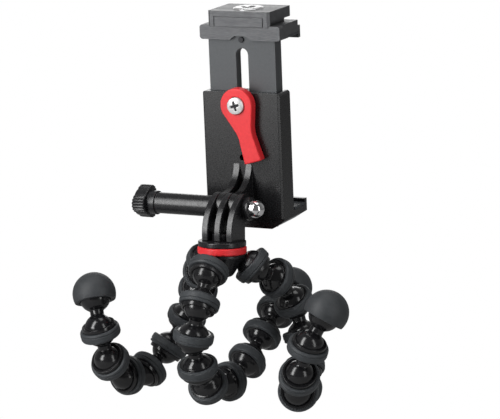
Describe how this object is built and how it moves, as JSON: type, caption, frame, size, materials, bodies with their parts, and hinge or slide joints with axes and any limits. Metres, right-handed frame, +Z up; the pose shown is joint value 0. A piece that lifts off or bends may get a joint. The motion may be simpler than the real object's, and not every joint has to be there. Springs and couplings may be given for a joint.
{
  "type": "phone tripod",
  "caption": "Flexible-leg phone tripod with ball-and-socket legs wrapped round a bar, a tilting mount and a sliding phone clamp with a red lock lever",
  "frame": {"origin": "on the axis of the bar that the legs hold, straight below the hub", "axes": "+X along the bar and the phone, +Y away from the lever side towards the phone, +Z up"},
  "size_m": [0.1345, 0.1068, 0.1759],
  "materials": {
    "satin_plastic": "black nylon with a fine satin skin",
    "gloss_plastic": "glossy black balls and cups",
    "grip_rubber": "matte charcoal rubber",
    "foot_rubber": "matte charcoal rubber domes over black plastic",
    "red_plastic": "red moulding with a fine grain",
    "dark_shell": "dark satin moulding",
    "grey_metal": "satin grey-black paint",
    "brushed_metal": "dark metal with fine level brush lines",
    "bright_steel": "turned bright steel",
    "chrome": "polished chrome",
    "zinc_steel": "zinc-plated steel",
    "black_screw": "blackened steel",
    "white_plastic": "slick white plastic"
  },
  "bodies": {
    "hub": {"hub_body": "satin_plastic", "hub_grips": "grip_rubber", "trim_ring": "red_plastic", "hub_stud": "zinc_steel"},
    "fork": {"fork": "satin_plastic", "cap_nut": "chrome"},
    "knob": {"thumb_knob": "satin_plastic", "tilt_bolt": "zinc_steel"},
    "clamp": {"housing": "dark_shell", "slide_liners": "white_plastic", "back_cover": "satin_plastic", "back_pad": "grip_rubber", "lower_jaw": "satin_plastic", "lower_jaw_pad": "grip_rubber", "lower_jaw_screws": "black_screw", "slot_nut": "zinc_steel"},
    "lever": {"lock_lever": "red_plastic", "lever_screw": "zinc_steel", "lever_washer": "white_plastic"},
    "jaw": {"slide_plate": "grey_metal", "stop_screw": "black_screw", "upper_jaw": "brushed_metal", "upper_jaw_pad": "grip_rubber", "jaw_screws": "black_screw", "shoe_block": "brushed_metal", "shoe_inset": "brushed_metal", "shoe_screws": "black_screw", "threaded_insert": "bright_steel"},
    "front_leg_link_1": {"front_leg_link_1": "gloss_plastic"},
    "front_leg_link_2": {"front_leg_link_2": "gloss_plastic"},
    "front_leg_link_3": {"front_leg_link_3": "gloss_plastic"},
    "front_leg_link_4": {"front_leg_link_4": "gloss_plastic"},
    "front_leg_link_5": {"front_leg_link_5": "gloss_plastic"},
    "front_leg_link_6": {"front_leg_link_6": "gloss_plastic"},
    "front_leg_link_7": {"front_leg_link_7": "gloss_plastic"},
    "front_leg_link_8": {"front_leg_link_8": "gloss_plastic"},
    "front_leg_foot": {"front_leg_foot": "foot_rubber"},
    "left_leg_link_1": {"left_leg_link_1": "gloss_plastic"},
    "left_leg_link_2": {"left_leg_link_2": "gloss_plastic"},
    "left_leg_link_3": {"left_leg_link_3": "gloss_plastic"},
    "left_leg_link_4": {"left_leg_link_4": "gloss_plastic"},
    "left_leg_link_5": {"left_leg_link_5": "gloss_plastic"},
    "left_leg_link_6": {"left_leg_link_6": "gloss_plastic"},
    "left_leg_link_7": {"left_leg_link_7": "gloss_plastic"},
    "left_leg_link_8": {"left_leg_link_8": "gloss_plastic"},
    "left_leg_foot": {"left_leg_foot": "foot_rubber"},
    "right_leg_link_1": {"right_leg_link_1": "gloss_plastic"},
    "right_leg_link_2": {"right_leg_link_2": "gloss_plastic"},
    "right_leg_link_3": {"right_leg_link_3": "gloss_plastic"},
    "right_leg_link_4": {"right_leg_link_4": "gloss_plastic"},
    "right_leg_link_5": {"right_leg_link_5": "gloss_plastic"},
    "right_leg_link_6": {"right_leg_link_6": "gloss_plastic"},
    "right_leg_link_7": {"right_leg_link_7": "gloss_plastic"},
    "right_leg_link_8": {"right_leg_link_8": "gloss_plastic"},
    "right_leg_foot": {"right_leg_foot": "foot_rubber"}
  },
  "joints": [
    {"name": "fork_turn", "type": "hinge", "parent": "hub", "child": "fork", "pos_m": [0, -0.00152, 0.03837], "axis": [0, 0.0872, 0.9962], "range_deg": [-180, 180]},
    {"name": "knob_spin", "type": "hinge", "parent": "fork", "child": "knob", "pos_m": [-0.0433, 0.0085, 0.0536], "axis": [1, 0, 0], "continuous": true},
    {"name": "clamp_tilt", "type": "hinge", "parent": "fork", "child": "clamp", "pos_m": [0, 0.0085, 0.0536], "axis": [1, 0, 0], "range_deg": [-24, 120]},
    {"name": "lever_turn", "type": "hinge", "parent": "clamp", "child": "lever", "pos_m": [0, 0.02, 0.0983], "axis": [0, -1, 0], "range_deg": [0, 110]},
    {"name": "jaw_slide", "type": "slide", "parent": "clamp", "child": "jaw", "axis": [0, 0, 1], "range_m": [-0.0218, 0.0132]},
    {"name": "front_leg_link_1_bend", "type": "hinge", "parent": "hub", "child": "front_leg_link_1", "pos_m": [0, -0.01738, 0.02911], "axis": [-1, 0, 0], "range_deg": [-2, 25]},
    {"name": "front_leg_link_2_bend", "type": "hinge", "parent": "front_leg_link_1", "child": "front_leg_link_2", "pos_m": [0, -0.02723, 0.0165], "axis": [-0.9427, -0.263, 0.2054], "range_deg": [-2, 46.8]},
    {"name": "front_leg_link_3_bend", "type": "hinge", "parent": "front_leg_link_2", "child": "front_leg_link_3", "pos_m": [-0.0032, -0.02799, 0.00084], "axis": [-0.8793, 0.4494, 0.158], "range_deg": [-2, 32.4]},
    {"name": "front_leg_link_4_bend", "type": "hinge", "parent": "front_leg_link_3", "child": "front_leg_link_4", "pos_m": [-0.00352, -0.02324, -0.01443], "axis": [-0.9987, -0.0501, 0.0054], "range_deg": [-2, 39.2]},
    {"name": "front_leg_link_5_bend", "type": "hinge", "parent": "front_leg_link_4", "child": "front_leg_link_5", "pos_m": [-0.00416, -0.01166, -0.02545], "axis": [-0.9416, 0.2033, 0.2683], "range_deg": [-0.7, 53.3]},
    {"name": "front_leg_link_6_bend", "type": "hinge", "parent": "front_leg_link_5", "child": "front_leg_link_6", "pos_m": [-0.00096, 0.004, -0.0261], "axis": [-0.9792, 0.1982, -0.0438], "range_deg": [-2, 38.1]},
    {"name": "front_leg_link_7_bend", "type": "hinge", "parent": "front_leg_link_6", "child": "front_leg_link_7", "pos_m": [0.0016, 0.01818, -0.01914], "axis": [-0.9382, 0.2734, -0.2121], "range_deg": [-2, 20.7]},
    {"name": "front_leg_link_8_bend", "type": "hinge", "parent": "front_leg_link_7", "child": "front_leg_link_8", "pos_m": [0.0032, 0.031, -0.0097], "axis": [0.9334, 0.1299, -0.3345], "range_deg": [-2, 19.8]},
    {"name": "front_leg_foot_bend", "type": "hinge", "parent": "front_leg_link_8", "child": "front_leg_foot", "pos_m": [0.00384, 0.04522, -0.00239], "axis": [0.9992, -0.0361, -0.0172], "range_deg": [-2, 13.6]},
    {"name": "left_leg_link_1_bend", "type": "hinge", "parent": "hub", "child": "left_leg_link_1", "pos_m": [-0.01299, 0.00503, 0.02715], "axis": [-0.7445, -0.0431, 0.6663], "range_deg": [-8, 42.2]},
    {"name": "left_leg_link_2_bend", "type": "hinge", "parent": "left_leg_link_1", "child": "left_leg_link_2", "pos_m": [-0.02019, 0.01734, 0.0199], "axis": [0.8881, 0.3326, -0.3171], "range_deg": [-8, 33.4]},
    {"name": "left_leg_link_3_bend", "type": "hinge", "parent": "left_leg_link_2", "child": "left_leg_link_3", "pos_m": [-0.02739, 0.02517, 0.00795], "axis": [0.886, 0.1397, -0.4422], "range_deg": [-8, 38]},
    {"name": "left_leg_link_4_bend", "type": "hinge", "parent": "left_leg_link_3", "child": "left_leg_link_4", "pos_m": [-0.03459, 0.02563, -0.00633], "axis": [0.8915, -0.0432, -0.4509], "range_deg": [-8, 38.5]},
    {"name": "left_leg_link_5_bend", "type": "hinge", "parent": "left_leg_link_4", "child": "left_leg_link_5", "pos_m": [-0.04131, 0.01841, -0.01893], "axis": [0.8837, -0.0059, -0.468], "range_deg": [-8, 43]},
    {"name": "left_leg_link_6_bend", "type": "hinge", "parent": "left_leg_link_5", "child": "left_leg_link_6", "pos_m": [-0.04515, 0.00458, -0.026], "axis": [0.9683, -0.1807, -0.1724], "range_deg": [-8, 44.1]},
    {"name": "left_leg_link_7_bend", "type": "hinge", "parent": "left_leg_link_6", "child": "left_leg_link_7", "pos_m": [-0.04771, -0.01108, -0.02396], "axis": [0.9856, -0.1656, -0.0346], "range_deg": [-8, 44.8]},
    {"name": "left_leg_link_8_bend", "type": "hinge", "parent": "left_leg_link_7", "child": "left_leg_link_8", "pos_m": [-0.04931, -0.02285, -0.01323], "axis": [0.9928, -0.0287, 0.1165], "range_deg": [-8, 44.9]},
    {"name": "left_leg_foot_bend", "type": "hinge", "parent": "left_leg_link_8", "child": "left_leg_foot", "pos_m": [-0.05123, -0.0263, 0.00227], "axis": [0.9286, 0.3207, 0.1865], "range_deg": [-8, 45.1]},
    {"name": "right_leg_link_1_bend", "type": "hinge", "parent": "hub", "child": "right_leg_link_1", "pos_m": [0.01299, 0.00503, 0.02715], "axis": [-0.7008, -0.1272, -0.702], "range_deg": [-8, 46]},
    {"name": "right_leg_link_2_bend", "type": "hinge", "parent": "right_leg_link_1", "child": "right_leg_link_2", "pos_m": [0.01843, 0.01792, 0.01939], "axis": [0.9318, -0.3581, 0.0584], "range_deg": [-8, 38.1]},
    {"name": "right_leg_link_3_bend", "type": "hinge", "parent": "right_leg_link_2", "child": "right_leg_link_3", "pos_m": [0.02227, 0.02572, 0.00596], "axis": [0.9648, -0.0237, 0.262], "range_deg": [-8, 43]},
    {"name": "right_leg_link_4_bend", "type": "hinge", "parent": "right_leg_link_3", "child": "right_leg_link_4", "pos_m": [0.02643, 0.02465, -0.00946], "axis": [0.9589, 0.1349, 0.2495], "range_deg": [-8, 42.7]},
    {"name": "right_leg_link_5_bend", "type": "hinge", "parent": "right_leg_link_4", "child": "right_leg_link_5", "pos_m": [0.03091, 0.01521, -0.02158], "axis": [0.9548, 0.2532, 0.1558], "range_deg": [-8, 42.3]},
    {"name": "right_leg_link_6_bend", "type": "hinge", "parent": "right_leg_link_5", "child": "right_leg_link_6", "pos_m": [0.03555, 0.00068, -0.02639], "axis": [0.9468, 0.3182, -0.0484], "range_deg": [-8, 41.9]},
    {"name": "right_leg_link_7_bend", "type": "hinge", "parent": "right_leg_link_6", "child": "right_leg_link_7", "pos_m": [0.04067, -0.01395, -0.02241], "axis": [0.9327, 0.2578, -0.2523], "range_deg": [-8, 41.2]},
    {"name": "right_leg_link_8_bend", "type": "hinge", "parent": "right_leg_link_7", "child": "right_leg_link_8", "pos_m": [0.04643, -0.02388, -0.01126], "axis": [0.9228, 0.1269, -0.3638], "range_deg": [-8, 40.3]},
    {"name": "right_leg_foot_bend", "type": "hinge", "parent": "right_leg_link_8", "child": "right_leg_foot", "pos_m": [0.05251, -0.02619, 0.00335], "axis": [0.917, -0.0711, -0.3926], "range_deg": [-8, 39.9]}
  ]
}
